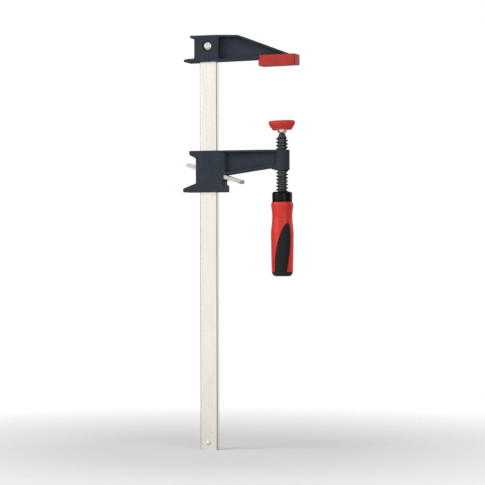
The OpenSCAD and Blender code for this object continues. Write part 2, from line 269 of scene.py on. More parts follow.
def drawn_bar_steel(tint):
    """Cold drawn flat bar, zinc plated: bright, with die lines along the bar, faint cloudy plating and
    painted shade on its rounded corners.
    """
    material, tree, place = start_material("drawn_bar_steel")
    # Three patterns, drawn out along the bar this many times
    drawn = [add(tree, "Mapping", {"Scale": (1, 1, 1 / times)}, {"Vector": place}) for times in (110, 34, 3)]
    lines = add(tree, "TexNoise", grain(0.45, 3, 0.6), {"Vector": drawn[0]})
    broad = add(tree, "TexNoise", grain(2.2), {"Vector": drawn[1]})
    cloud = add(tree, "TexNoise", grain(15, 4), {"Vector": drawn[2]})
    streaks = add(tree, "ValToRGB", shades(tint, 0.96, 1.02, 0.35, 0.65), {"Fac": lines})
    plate = add(tree, "ValToRGB", {"stops": [(0.35, (0.94, 0.93, 0.91)), (0.6, (1, 1, 1))]}, {"Fac": cloud})
    # Painted shade: the bar's rounded corners are darkened towards this grey, standing in for the dark edges
    # that the light leaves there
    film_and_painted_shade = add(tree, "ValToRGB", {"stops": [(0, (1, 1, 1)), (1, (0.36, 0.35, 0.34))]},
               {"Fac": painted_corner_shade(tree, place)})
    plated = add(tree, "Mix", {**MULTIPLY, 0: 0.7}, {6: streaks, 7: plate}).outputs[2]
    corner_shaded = add(tree, "Mix", {**MULTIPLY, 0: 1.0}, {6: plated, 7: film_and_painted_shade}).outputs[2]
    gloss = add(tree, "MapRange", between(0.22, 0.32), {"Value": broad})
    drawing = add(tree, "Bump", relief(0.07, 0.012), {"Height": lines})
    surface(tree, {"Metallic": 1.0}, {"Base Color": corner_shaded, "Roughness": gloss, "Normal": drawing})
    return material


def stamped_steel(name, tint):
    """Stamped or headed low-carbon steel, barrel plated: bright, with tumbling marks and soft mottling."""
    material, tree, place = start_material(name)
    marks = add(tree, "TexNoise", grain(0.5, 4), {"Vector": place})
    mottle = add(tree, "TexNoise", grain(6), {"Vector": place})
    plate = add(tree, "ValToRGB", shades(tint, 0.86, 1.04), {"Fac": mottle})
    gloss = add(tree, "MapRange", between(0.24, 0.36), {"Value": marks})
    tumbled = add(tree, "Bump", relief(0.12, 0.012), {"Height": marks})
    surface(tree, {"Metallic": 1.0}, {"Base Color": plate, "Roughness": gloss, "Normal": tumbled})
    return material


def black_oxide_steel(tint):
    """Rolled-thread steel in oiled black oxide: near black, with grey gloss where the flanks catch light."""
    material, tree, place = start_material("black_oxide_steel")
    film_and_painted_shade = add(tree, "TexNoise", grain(1.6), {"Vector": place})
    fine = add(tree, "TexNoise", grain(0.35, 2), {"Vector": place})
    oxide = add(tree, "ValToRGB", shades(tint, 0.55, 1.5), {"Fac": film_and_painted_shade})
    gloss = add(tree, "MapRange", between(0.26, 0.42), {"Value": film_and_painted_shade})
    etched = add(tree, "Bump", relief(0.2, 0.02), {"Height": fine})
    surface(tree, {"Metallic": 0.9}, {"Base Color": oxide, "Roughness": gloss, "Normal": etched})
    return material


def drawn_spring_wire(tint):
    """Hard drawn spring wire: grey steel with die lines round the coil."""
    material, tree, place = start_material("drawn_spring_wire")
    drawn = add(tree, "Mapping", {"Scale": (1 / 4, 1 / 4, 1)}, {"Vector": place})
    lines = add(tree, "TexNoise", grain(0.3), {"Vector": drawn})
    steel = add(tree, "ValToRGB", shades(tint, 0.75, 1.1), {"Fac": lines})
    gloss = add(tree, "MapRange", between(0.25, 0.4), {"Value": lines})
    surface(tree, {"Metallic": 1.0}, {"Base Color": steel, "Roughness": gloss})
    return material


def dipped_vinyl(name, tint):
    """Soft moulded vinyl: satin, slightly translucent at the surface, with a fine moulded grain."""
    material, tree, place = start_material(name)
    fine = add(tree, "TexNoise", grain(0.5), {"Vector": place})
    drift = add(tree, "TexNoise", grain(9, 4), {"Vector": place})
    vinyl = add(tree, "ValToRGB", shades(tint, 0.9, 1.08), {"Fac": drift})
    gloss = add(tree, "MapRange", between(0.4, 0.52), {"Value": fine})
    slump = add(tree, "Bump", relief(0.12, 0.1), {"Height": drift})
    skin = add(tree, "Bump", relief(0.25, 0.03), {"Height": fine, "Normal": slump})
    surface(tree, {"Subsurface Weight": 0.05, "Subsurface Radius": (2 * MM, 0.6 * MM, 0.4 * MM),
                   "Specular IOR Level": 0.25}, {"Base Color": vinyl, "Roughness": gloss, "Normal": skin})
    return material


def moulded_plastic(name, tint, low, high, sheen):
    """Injection moulded polypropylene: semi-gloss, with a light spark-eroded grain and slow flow marks."""
    material, tree, place = start_material(name)
    fine = add(tree, "TexNoise", grain(0.35, 2), {"Vector": place})
    drawn = add(tree, "Mapping", {"Scale": (1, 1, 1 / 2)}, {"Vector": place})
    flow = add(tree, "TexNoise", grain(12), {"Vector": drawn})
    plastic = add(tree, "ValToRGB", shades(tint, 0.9, 1.08), {"Fac": flow})
    gloss = add(tree, "MapRange", between(low, high), {"Value": flow})
    wave = add(tree, "Bump", relief(0.1, 0.15), {"Height": flow})
    skin = add(tree, "Bump", relief(0.18, 0.02), {"Height": fine, "Normal": wave})
    surface(tree, {"IOR": 1.49, "Specular IOR Level": sheen},
            {"Base Color": plastic, "Roughness": gloss, "Normal": skin})
    return material


def soft_touch_rubber(tint):
    """Thermoplastic rubber moulded into the grip: matt, with a pebbled grain that keeps a weak sheen."""
    material, tree, place = start_material("soft_touch_rubber")
    pebbles = add(tree, "TexVoronoi", {"Scale": 1 / (0.6 * MM)}, {"Vector": place})
    drift = add(tree, "TexNoise", grain(8), {"Vector": place})
    rubber = add(tree, "ValToRGB", shades(tint, 0.8, 1.25), {"Fac": drift})
    gloss = add(tree, "MapRange", between(0.52, 0.66), {"Value": drift})
    skin = add(tree, "Bump", relief(0.3, 0.05), {"Height": pebbles})
    surface(tree, {"Specular IOR Level": 0.22, "Sheen Weight": 0.05, "Sheen Roughness": 0.5},
            {"Base Color": rubber, "Roughness": gloss, "Normal": skin})
    return material


def studio_floor(tint):
    """Matt painted board, pale, fading out round its edge so that it has no hard border."""
    material, tree, place = start_material("studio_floor")
    away = add(tree, "VectorMath", {"operation": "LENGTH"}, {0: place}).outputs["Value"]
    fibre = add(tree, "TexNoise", grain(30), {"Vector": place})
    paint = add(tree, "ValToRGB", shades(tint, 0.985, 1), {"Fac": fibre})
    fade = add(tree, "MapRange", between(1, 0, 0.12, 0.5), {"Value": away})
    surface(tree, {"Roughness": 0.8, "Specular IOR Level": 0.2}, {"Base Color": paint, "Alpha": fade})
    return material


MAKERS = {
    "iron": lambda c: powder_coated_iron(c.iron_coat),
    "zinc": lambda c: drawn_bar_steel(c.zinc),
    "bright": lambda c: stamped_steel("stamped_steel", c.bright_steel),
    "socket": lambda c: stamped_steel("crimped_socket_steel", c.socket_steel),
    "oxide": lambda c: black_oxide_steel(c.black_oxide),
    "wire": lambda c: drawn_spring_wire(c.spring_steel),
    "pad": lambda c: dipped_vinyl("pad_vinyl", c.pad_red),
    "cap": lambda c: dipped_vinyl("cap_vinyl", c.cap_red),
    "grip": lambda c: moulded_plastic("moulded_grip_plastic", c.grip_red, 0.3, 0.42, 0.33),
    "core": lambda c: moulded_plastic("moulded_core_plastic", c.core_black, 0.18, 0.3, 0.14),
    "end": lambda c: moulded_plastic("moulded_end_plastic", c.end_black_painted_lighter, 0.34, 0.46, 0.3),
    "soft": lambda c: soft_touch_rubber(c.soft_black),
    "floor": lambda c: studio_floor(c.floor),
}
made_materials = {}


def finish_of(key):
    """The material for a finish, made once."""
    if key not in made_materials:
        made_materials[key] = MAKERS[key](bpy.context.scene.clamp_colours)
    return made_materials[key]


# ---------------------------------------------------------------- modelling


def rounded(corners, closed=False):
    """An outline from (r, z, radius) corners, each but its two ends eased by about that radius."""
    points = []
    for i, (r, z, radius) in enumerate(corners):
        here = Vector((r, z))
        at_end = not closed and i in (0, len(corners) - 1)
        if radius == 0 or at_end:
            points.append(here)
            continue
        back = Vector(corners[i - 1][:2]) - here
        on = Vector(corners[(i + 1) % len(corners)][:2]) - here
        reach = min(radius / tan(back.angle(on) / 2), 0.49 * back.length, 0.49 * on.length)
        start, end = here + back.normalized() * reach, here + on.normalized() * reach
        for k in range(ARC_STEPS + 1):
            t = k / ARC_STEPS
            points.append(start.lerp(here, t).lerp(here.lerp(end, t), t))
    return points


def arc(radius, z, start, end, steps):
    """Points on a circle centred at height z on the axis, between two angles measured from straight down."""
    angles = [start + i * (end - start) / steps for i in range(steps + 1)]
    return [Vector((radius * sin(a), z - radius * cos(a))) for a in angles]


def revolve(bm, outline, x, closed=False, steps=96):
    """Turns an outline of (r, z) points round the vertical axis at x. Points at r 0 become poles."""
    verts = [bm.verts.new((x + r, 0, z)) for r, z in outline]
    pairs = list(zip(verts, verts[1:])) + ([(verts[-1], verts[0])] if closed else [])
    edges = [bm.edges.new(pair) for pair in pairs]
    bmesh.ops.spin(bm, geom=verts + edges, cent=(x, 0, 0), axis=(0, 0, 1), dvec=(0, 0, 0), angle=tau,
                   steps=steps, use_merge=True, use_normal_flip=False, use_duplicate=False)
    bmesh.ops.remove_doubles(bm, verts=bm.verts, dist=1e-7)


def cad_copy(node):
    """A merged copy of a CAD node's shape, with its flat faces whole."""
    bm = bmesh.new()
    bm.from_mesh(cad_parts[node].data)
    bmesh.ops.remove_doubles(bm, verts=bm.verts, dist=2e-6)
    bmesh.ops.dissolve_limit(bm, angle_limit=radians(0.6), use_dissolve_boundaries=False, verts=bm.verts,
                             edges=bm.edges, delimit=set())
    return bm


def round_edges(bm, width, segments=3, least=30):
    """Rounds every outer edge that turns by more than least degrees."""
    edges = [e for e in bm.edges if e.is_manifold and e.is_convex and e.calc_face_angle(0) > radians(least)]
    bmesh.ops.bevel(bm, geom=edges, offset=width, offset_type="OFFSET", affect="EDGES", segments=segments,
                    profile=0.5, clamp_overlap=True, material=-1)


def finish_mesh(bm, name, sharp=38):
    """Makes a mesh of a bmesh, with its faces outwards and only its sharp edges hard."""
    bmesh.ops.recalc_face_normals(bm, faces=bm.faces)
    for face in bm.faces:
        face.smooth = True
    for edge in bm.edges:
        edge.smooth = edge.calc_face_angle(0) < radians(sharp)
    mesh = bpy.data.meshes.new(name)
    bm.to_mesh(mesh)
    bm.free()
    return mesh


def place_piece(name, mesh, finish, body, slot, *nodes):
    """Puts a finished mesh in the scene on its body, standing for the CAD nodes named."""
    mesh.materials.clear()
    mesh.materials.append(finish_of(finish))
    piece = bpy.data.objects.new(name, mesh)
    bpy.context.scene.collection.objects.link(piece)
    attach(piece, body)
    if nodes:
        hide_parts(*nodes)
    return piece


def keep_flats_flat(piece):
    """Lets a piece's large flat faces set the normals, so that only its rounded edges turn the light."""
    weighted = piece.modifiers.new("Flat faces", "WEIGHTED_NORMAL")
    weighted.mode = "FACE_AREA"
    weighted.weight = 100
    weighted.keep_sharp = True


def settle(piece, name):
    """Makes a piece's modifiers part of its mesh."""
    shape = piece.evaluated_get(bpy.context.evaluated_depsgraph_get())
    mesh = bpy.data.meshes.new_from_object(shape)
    mesh.name = name
    return mesh


def soften_casting(node, name, sizes):
    """A casting's mesh with the softened edges and filled corners that sand and powder coat leave."""
    bm = cad_copy(node)
    bmesh.ops.triangulate(bm, faces=bm.faces)
    raw = bpy.data.objects.new(name + "_raw", finish_mesh(bm, name + "_raw"))
    bpy.context.scene.collection.objects.link(raw)
    cells = raw.modifiers.new("Cells", "REMESH")
    cells.mode = "VOXEL"
    cells.voxel_size = sizes.cast_grain
    cells.use_smooth_shade = True
    smooth = raw.modifiers.new("Smooth", "SMOOTH")
    smooth.factor = 0.5
    smooth.iterations = sizes.cast_passes
    bpy.context.view_layer.update()
    mesh = settle(raw, name)
    bpy.data.objects.remove(raw)
    return mesh


class CLAMP_OT_castings(bpy.types.Operator):
    """Builds the fixed jaw and the sliding arm as softened castings"""
    bl_idname = "clamp.castings"
    bl_label = "Castings"
    bl_options = {"REGISTER", "UNDO"}

    def execute(self, context):
        for node, body in (("fixed_jaw", "frame"), ("sliding_arm", "arm")):
            mesh = soften_casting(node, node + "_casting", context.scene.clamp_sizes)
            place_piece(node + "_casting", mesh, "iron", body, "casting_paint", node)
        return {"FINISHED"}


class CLAMP_OT_bar(bpy.types.Operator):
    """Builds the steel bar and the stop pin at its free end"""
    bl_idname = "clamp.bar"
    bl_label = "Bar and stop pin"
    bl_options = {"REGISTER", "UNDO"}

    def execute(self, context):
        bm = cad_copy("bar")
        round_edges(bm, 0.35 * MM, segments=2, least=50)
        bar = place_piece("steel_bar", finish_mesh(bm, "steel_bar"), "zinc", "frame", "zinc_steel", "bar")
        keep_flats_flat(bar)
        bm = bmesh.new()
        half = span("bar_stop_pin").y / 2
        head = span("bar_stop_pin").x / 2
        neck = 0.7 * head
        under = half - 0.8 * MM
        revolve(bm, rounded([(0, half, 0), (0.45 * head, half, 0.3 * MM), (head, half - 0.35 * MM, 0.4 * MM),
                             (head, under, 0), (neck, under, 0), (neck, 0, 0)]), 0, steps=48)
        mirror_half(bm)
        lay_across(bm, centre("bar_stop_pin"))
        place_piece("stop_pin", finish_mesh(bm, "stop_pin"), "bright", "frame", "zinc_steel", "bar_stop_pin")
        return {"FINISHED"}


def mirror_half(bm):
    """Completes a turned pin from its upper half."""
    bmesh.ops.mirror(bm, geom=bm.verts[:] + bm.edges[:] + bm.faces[:], merge_dist=1e-7, axis="Z")
    bmesh.ops.remove_doubles(bm, verts=bm.verts, dist=1e-7)


def lay_across(bm, where):
    """Turns an upright pin so that it lies along Y, centred at where."""
    turn = Matrix.Translation(where) @ Matrix.Rotation(radians(90), 4, "X")
    bmesh.ops.transform(bm, matrix=turn, verts=bm.verts)


class CLAMP_OT_rivet(bpy.types.Operator):
    """Builds the headed rivet that holds the jaw on the bar"""
    bl_idname = "clamp.rivet"
    bl_label = "Jaw rivet"
    bl_options = {"REGISTER", "UNDO"}

    def execute(self, context):
        half = span("jaw_rivet").y / 2
        head = span("jaw_rivet").x / 2
        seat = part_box("fixed_jaw")[1].y - 0.9 * MM
        dimple = half - 0.25 * MM
        shank = 3 * MM
        bm = bmesh.new()
        revolve(bm, rounded([(0, dimple, 0), (0.9 * MM, dimple, 0.3 * MM), (1.25 * MM, half, 0.4 * MM),
                             (2.3 * MM, half - 0.1 * MM, 0.8 * MM), (head, half - 0.9 * MM, 0.7 * MM),
                             (head, seat, 0), (shank, seat, 0), (shank, 0, 0)]), 0, steps=64)
        mirror_half(bm)
        lay_across(bm, centre("jaw_rivet"))
        place_piece("rivet", finish_mesh(bm, "rivet"), "bright", "frame", "zinc_steel", "jaw_rivet")
        return {"FINISHED"}


class CLAMP_OT_jaw_pad(bpy.types.Operator):
    """Builds the soft cap on the fixed jaw's tip"""
    bl_idname = "clamp.jaw_pad"
    bl_label = "Jaw pad"
    bl_options = {"REGISTER", "UNDO"}

    def execute(self, context):
        bm = cad_copy("jaw_pad")
        round_edges(bm, context.scene.clamp_sizes.pad_edge, segments=4, least=40)
        pad = place_piece("pad_cap", finish_mesh(bm, "pad_cap"), "pad", "frame", "red_pad", "jaw_pad")
        keep_flats_flat(pad)
        return {"FINISHED"}


class CLAMP_OT_clutch(bpy.types.Operator):
    """Builds the two clutch plates and the springs under them"""
    bl_idname = "clamp.clutch"
    bl_label = "Clutch plates and springs"
    bl_options = {"REGISTER", "UNDO"}

    def execute(self, context):
        sizes = context.scene.clamp_sizes
        for node in ("clutch_plate_upper", "clutch_plate_lower"):
            bm = cad_copy(node)
            round_edges(bm, sizes.stamped_edge, segments=2, least=50)
            mesh = finish_mesh(bm, node)
            plate = place_piece(node + "_stamping", mesh, "bright", "clutch", "zinc_steel", node)
            keep_flats_flat(plate)
        low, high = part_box("clutch_springs")
        wire = sizes.wire / 2
        coil_r = (high.x - low.x) / 2 - wire
        offset = high.y - coil_r - wire
        rise = high.z - low.z - 2 * wire
        bm = bmesh.new()
        for side in (-1, 1):
            coil(bm, Vector(((low.x + high.x) / 2, side * offset, low.z + wire)), coil_r, wire, rise,
                 sizes.spring_turns)
        springs = place_piece("coil_springs", finish_mesh(bm, "coil_springs"), "wire", "arm", "spring_steel",
                              "clutch_springs")
        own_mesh(springs)
        return {"FINISHED"}


def coil(bm, base, radius, wire, rise, turns):
    """Winds a round wire into a coil standing on base."""
    steps = 20 * turns
    ring = bmesh.ops.create_circle(bm, cap_ends=True, segments=10, radius=wire)["verts"]
    stand = Matrix.Translation(base + Vector((radius, 0, 0))) @ Matrix.Rotation(radians(90), 4, "X")
    bmesh.ops.transform(bm, matrix=stand, verts=ring)
    face = ring[0].link_faces[0]
    bmesh.ops.spin(bm, geom=[*ring, *face.edges, face], cent=base, axis=(0, 0, 1),
                   dvec=(0, 0, rise / steps), angle=tau * turns, steps=steps, use_merge=False,
                   use_normal_flip=False, use_duplicate=False)


class CLAMP_OT_screw(bpy.types.Operator):
    """Builds the screw with its rolled thread, neck and ball end"""
    bl_idname = "clamp.screw"
    bl_label = "Screw"
    bl_options = {"REGISTER", "UNDO"}

    def execute(self, context):
        sizes = context.scene.clamp_sizes
        x = centre("swivel_socket").x
        low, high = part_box("spindle")
        crest = span("spindle").x / 2
        root = crest - sizes.thread_depth
        ball_r = 3.8 * MM
        ball_z = high.z - ball_r
        top = ball_z - 7.3 * MM
        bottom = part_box("handle_core")[1].z - 5 * MM
        bm = bmesh.new()
        cut_thread(bm, x, root, crest, bottom, top, sizes.thread_pitch)
        ends = bmesh.new()
        revolve(ends, necked_ball(root - 0.1 * MM, top, ball_r, ball_z), x, steps=64)
        shank, shank_top = 3.95 * MM, bottom + 0.5 * MM
        revolve(ends, rounded([(0, shank_top, 0), (shank, shank_top, 0), (shank, low.z, 0.4 * MM),
                               (0, low.z, 0)]), x, steps=64)
        extra = bpy.data.meshes.new("screw_ends")
        ends.to_mesh(extra)
        ends.free()
        bm.from_mesh(extra)
        place_piece("screw", finish_mesh(bm, "screw", sharp=50), "oxide", "screw", "black_steel", "spindle")
        return {"FINISHED"}


def cut_thread(bm, x, root, crest, bottom, top, pitch):
    """A right-hand thread on the vertical axis at x, wound past both ends and cut off flat there."""
    tooth = rounded([(root, 0, 0), (root, 0.24 * pitch, 0.3 * MM), (crest, 0.5 * pitch, 0.25 * MM),
                     (crest, 0.74 * pitch, 0.25 * MM), (root, pitch, 0)])
    start = bottom - pitch
    verts = [bm.verts.new((x + r, 0, start + z)) for r, z in tooth]
    edges = [bm.edges.new(pair) for pair in zip(verts, verts[1:])]
    turns = int((top - start) / pitch) + 1
    around = 64
    bmesh.ops.spin(bm, geom=verts + edges, cent=(x, 0, 0), axis=(0, 0, 1), dvec=(0, 0, pitch / around),
                   angle=tau * turns, steps=around * turns, use_merge=False, use_normal_flip=False,
                   use_duplicate=False)
    bmesh.ops.remove_doubles(bm, verts=bm.verts, dist=1e-6)
    lead_in(bm, x, top, root)
    for height, normal in ((bottom, (0, 0, -1)), (top, (0, 0, 1))):
        cut = bmesh.ops.bisect_plane(bm, geom=bm.verts[:] + bm.edges[:] + bm.faces[:],
                                     plane_co=(0, 0, height), plane_no=normal, clear_outer=True, dist=1e-8)
        rim = [e for e in cut["geom_cut"] if isinstance(e, bmesh.types.BMEdge)]
        bmesh.ops.holes_fill(bm, edges=rim, sides=0)


def necked_ball(shoulder, top, ball_r, ball_z):
    """The outline of the screw's upper end, from inside the thread's top up the neck and over the ball."""
    neck = 2.2 * MM
    ball = arc(ball_r, ball_z, asin(neck / ball_r), pi, 24)
    stem = rounded([(0, top - MM, 0), (shoulder, top - MM, 0), (shoulder, top + 0.2 * MM, 0.4 * MM),
                    (neck + 0.8 * MM, ball_z - 4.5 * MM, 0.4 * MM), (neck, ball_z - 4.1 * MM, 0.3 * MM),
                    (*ball[0], 0)])
    return stem + ball[1:-1] + [Vector((0, ball_z + ball_r))]


def lead_in(bm, x, top, root):
    """Draws the last crests of a thread in to its root, as a turned chamfer does."""
    for vert in bm.verts:
        out = Vector((vert.co.x - x, vert.co.y))
        limit = root + max(0.0, (top - vert.co.z) * 1.5 - 0.1 * MM)
        if out.length > limit:
            out *= limit / out.length
            vert.co.x, vert.co.y = x + out.x, out.y


class CLAMP_OT_swivel(bpy.types.Operator):
    """Builds the swivel's steel socket and its soft pressure cap"""
    bl_idname = "clamp.swivel"
    bl_label = "Swivel"
    bl_options = {"REGISTER", "UNDO"}

    def execute(self, context):
        where = centre("swivel_socket")
        outer = span("swivel_socket").x / 2
        ball_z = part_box("swivel_socket")[1].z - outer
        bm = bmesh.new()
        revolve(bm, self.socket(outer, ball_z), where.x, steps=64)
        place_piece("crimped_socket", finish_mesh(bm, "crimped_socket"), "socket", "swivel", "zinc_steel",
                    "swivel_socket")
        bm = bmesh.new()
        revolve(bm, self.cap(outer + 0.05 * MM), 0)
        turn = Matrix.Rotation(-context.scene.clamp_sizes.cap_lean, 4, "Y")
        lean = Matrix.Translation((where.x, 0, ball_z)) @ turn
        bmesh.ops.transform(bm, matrix=lean, verts=bm.verts)
        place_piece("pressure_cap", finish_mesh(bm, "pressure_cap"), "cap", "cap", "red_pad", "swivel_cap")
        return {"FINISHED"}

    def socket(self, outer, ball_z):
        """A thin shell round the ball, open below, with its mouth crimped in"""
        inner = outer - MM
        mouth = 3 * MM
        skirt = ball_z - sqrt(outer * outer - mouth * mouth)
        shell = arc(outer, ball_z, asin(mouth / outer), pi, 20)
        hollow = arc(inner, ball_z, pi, asin((mouth - 0.05 * MM) / inner), 20)
        lip = [Vector((mouth - 0.25 * MM, skirt + 0.35 * MM)), Vector((mouth - 0.2 * MM, skirt + 0.02 * MM))]
        return hollow + lip + shell

    def cap(self, seat):
        """A soft cup over the socket, with a stepped foot, a flared side and a flat top inside a low rim"""
        base, top, rim = -0.6 * MM, 7.8 * MM, 12.4 * MM
        face = top - 0.3 * MM
        cup_end = asin(0.995)
        cup = arc(seat, 0, pi, pi - cup_end, 20)
        skin = rounded([(seat, base, 0), (9.3 * MM, base, 0.5 * MM), (9.6 * MM, 0.9 * MM, 0.3 * MM),
                        (10.5 * MM, 1.5 * MM, 0.5 * MM), (12.0 * MM, 4.3 * MM, 0.8 * MM),
                        (rim, 4.9 * MM, 0.5 * MM), (rim, top, MM), (9.2 * MM, top, 0.2 * MM),
                        (8.9 * MM, face, 0.2 * MM), (0, face, 0)])
        return cup + skin


# The grip's side as two curves of (radius, height) points in mm, from its foot to its shoulder
GRIP_LOW = ((10, 169), (10.45, 179), (10.55, 192), (10.7, 202))
GRIP_HIGH = ((10.7, 202), (11.3, 210.5), (8, 217.5), (10.5, 230.5))
# The soft inset's edges as curves of (across, height) points in mm, from its tip to its foot
LEAF_LEFT = ((5, 214.9), (-0.5, 214.5), (-8.5, 193), (-7.4, 168.9))
LEAF_RIGHT = ((5, 214.9), (9.2, 213), (8.6, 190), (4, 168.9))
LEAF_TIP = LEAF_LEFT[0][1]
LEAF_ROWS = 92
LEAF_COLUMNS = 18
SHOULDER = GRIP_HIGH[3][1]


def on_curve(points, t):
    """The point of a cubic curve at t."""
    a, b, c, d = (Vector(p) for p in points)
    return a * (1 - t) ** 3 + b * 3 * t * (1 - t) ** 2 + c * 3 * t * t * (1 - t) + d * t ** 3


def across_at(points, height):
    """The first coordinate of a curve where its second is height, found by halving."""
    low, high = (0.0, 1.0) if points[0][1] < points[-1][1] else (1.0, 0.0)
    for _ in range(30):
        middle = (low + high) / 2
        low, high = (middle, high) if on_curve(points, middle).y < height else (low, middle)
    return on_curve(points, low).x


def grip_radius(height):
    """The grip's outer radius in mm at a height in mm."""
    if height > SHOULDER:
        rise = min(1.0, (height - SHOULDER) / 4)
        return 10.5 + 0.04 * sin(rise * pi) - 0.75 * rise ** 3
    return across_at(GRIP_LOW if height < GRIP_LOW[3][1] else GRIP_HIGH, height)


def leaf_sides(height, gap):
    """The angles, seen from the screw's axis, between which the inset lies at a height."""
    r = grip_radius(height)
    if height >= LEAF_TIP:
        half = 0.05 + 0.3 * (height - LEAF_TIP)
        left, right = LEAF_LEFT[0][0] - half, LEAF_LEFT[0][0] + 0.4 * half
    else:
        left, right = across_at(LEAF_LEFT, height) + gap, across_at(LEAF_RIGHT, height) - gap
        left = min(left, right - 0.02)
    return asin(max(-0.95, left / r)), asin(min(0.95, right / r))


def leaf_height(foot, tip, row):
    """The height of a row of the inset, with the rows closing up towards its round tip."""
    return foot + (tip - foot) * (1 - (1 - row / LEAF_ROWS) ** 1.5)


def on_grip(angle, radius, height, x):
    """A point on the handle, angle measured from the front of the clamp."""
    return Vector((x + radius * MM * sin(angle), -radius * MM * cos(angle), height * MM))


def mapped_grid(bm, columns, rows, place):
    """A grid of faces whose corner (i, j) lies where place(i, j) says."""
    bmesh.ops.create_grid(bm, x_segments=columns, y_segments=rows, size=1)
    for vert in bm.verts:
        i = round((vert.co.x + 1) / 2 * columns)
        j = round((vert.co.y + 1) / 2 * rows)
        vert.co = place(i, j)


class CLAMP_OT_handle(bpy.types.Operator):
    """Builds the handle: core, grip, soft insets and end cap"""
    bl_idname = "clamp.handle"
    bl_label = "Handle"
    bl_options = {"REGISTER", "UNDO"}

    def execute(self, context):
        sizes = context.scene.clamp_sizes
        x = centre("swivel_socket").x
        self.core(x)
        self.grip(x, sizes)
        for number, name in enumerate(("grip_inset_front", "grip_inset_back")):
            self.inset(x, sizes, name, sizes.inset_turn + number * pi)
        foot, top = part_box("handle_end_cap")[0].z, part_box("handle_end_cap")[1].z
        bm = bmesh.new()
        revolve(bm, rounded([(0, foot, 0), (7.9 * MM, foot, 3.4 * MM), (9.75 * MM, foot + 2.8 * MM, 2 * MM),
                             (9.95 * MM, top - 0.15 * MM, 0.15 * MM), (9.6 * MM, top, 0), (0, top, 0)]), x)
        place_piece("end_cap", finish_mesh(bm, "end_cap"), "end", "screw", "black_core", "handle_end_cap")
        return {"FINISHED"}

    def core(self, x):
        """The hard tube inside the grip, with the collar above it"""
        low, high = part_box("handle_core")
        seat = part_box("handle_grip")[1].z
        bore, tube, collar, mouth = 4.05 * MM, 6.55 * MM, (high.x - low.x) / 2, 5.76 * MM
        outline = [(bore, low.z, 0), (tube, low.z, 0), (tube, seat, 0), (collar - 0.35 * MM, seat, 0.1 * MM),
                   (collar, seat + 0.6 * MM, 0.3 * MM), (collar, high.z - 1.1 * MM, 1.4 * MM),
                   (collar - 1.3 * MM, high.z, 0.7 * MM), (mouth + 0.5 * MM, high.z, 0.3 * MM),
                   (mouth, high.z - 0.5 * MM, 0.2 * MM), (mouth, high.z - 6 * MM, 0),
                   (bore, high.z - 6 * MM, 0)]
        bm = bmesh.new()
        revolve(bm, rounded(outline, closed=True), x, closed=True)
        place_piece("core", finish_mesh(bm, "core"), "core", "screw", "black_core", "handle_core")

    def grip(self, x, sizes):
        """The grip, with a pocket on each side for a soft inset"""
        foot, top = (z / MM for z in (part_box("handle_grip")[0].z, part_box("handle_grip")[1].z))
        # Rows above the pockets, and columns on each side of a pocket, in it and on its two walls
        above, red, leaf = 40, 12, LEAF_COLUMNS
        half_turn = 2 * red + leaf + 2
        wall = 0.12
        depth = sizes.inset_depth / MM

        def place(i, j):
            over = (j - LEAF_ROWS) / above
            height = leaf_height(foot, LEAF_TIP, j) if over < 0 else LEAF_TIP + (top - LEAF_TIP) * over
            side, k = divmod(i, half_turn)
            left, right = leaf_sides(height, 0)
            r = grip_radius(height)
            edge = wall / r
            if k <= red:
                angle, dip = -pi / 2 + (left + pi / 2) * k / red, 0
            elif k > red + 1 + leaf:
                angle, dip = right + (pi / 2 - right) * (k - red - 2 - leaf) / red, 0
            elif over < 0:
                angle, dip = left + edge + (right - left - 2 * edge) * (k - red - 1) / leaf, depth
            else:
                angle, dip = left + (right - left) * (k - red) / (leaf + 2), 0
            return on_grip(angle + sizes.inset_turn + side * pi, r - dip, height, x)

        bm = bmesh.new()
        mapped_grid(bm, 2 * half_turn, LEAF_ROWS + above, place)
        bmesh.ops.remove_doubles(bm, verts=bm.verts, dist=1e-7)
        rims = [e for e in bm.edges if e.is_boundary]
        inner = bmesh.ops.extrude_edge_only(bm, edges=rims)["geom"]
        bore = 6.65 * MM
        for vert in [g for g in inner if isinstance(g, bmesh.types.BMVert)]:
            out = Vector((vert.co.x - x, vert.co.y)).normalized() * bore
            vert.co.x, vert.co.y = x + out.x, out.y
        bmesh.ops.bridge_loops(bm, edges=[e for e in bm.edges if e.is_boundary])
        place_piece("grip", finish_mesh(bm, "grip"), "grip", "screw", "red_grip", "handle_grip")

    def inset(self, x, sizes, node, turn):
        """A soft inset that follows the grip, a little below its skin and rounded at its edges"""
        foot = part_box(node)[0].z / MM
        columns, rows = LEAF_COLUMNS, LEAF_ROWS
        gap = sizes.inset_gap / MM
        thick = sizes.inset_depth - 0.2 * MM

        def place(i, j):
            height = leaf_height(foot, LEAF_TIP - gap, j)
            left, right = leaf_sides(height, gap)
            # The first three columns from each edge roll it over, and the middle lies just below the skin
            from_edge = min(i, columns - i)
            drop = (0.32, 0.1, 0.04)[from_edge] if from_edge < 3 else 0.02
            near_tip = max(0.0, 1 - (rows - j) / 3)
            lean = (0, 0.03, 0.09)[from_edge] if from_edge < 3 else from_edge / columns
            share = lean if i <= columns / 2 else 1 - lean
            return on_grip(left + (right - left) * share + turn, grip_radius(height) - drop - 0.2 * near_tip,
                           height, x)

        bm = bmesh.new()
        mapped_grid(bm, columns, rows, place)
        bmesh.ops.recalc_face_normals(bm, faces=bm.faces)
        axis = Vector((x, 0))
        bm.faces.ensure_lookup_table()
        face = bm.faces[len(bm.faces) // 2]
        middle = face.calc_center_median()
        if face.normal.xy.dot(middle.xy - axis) < 0:
            bmesh.ops.reverse_faces(bm, faces=bm.faces)
        bmesh.ops.solidify(bm, geom=bm.faces[:], thickness=thick)
        place_piece(node + "_soft", finish_mesh(bm, node), "soft", "screw", "black_soft", node)


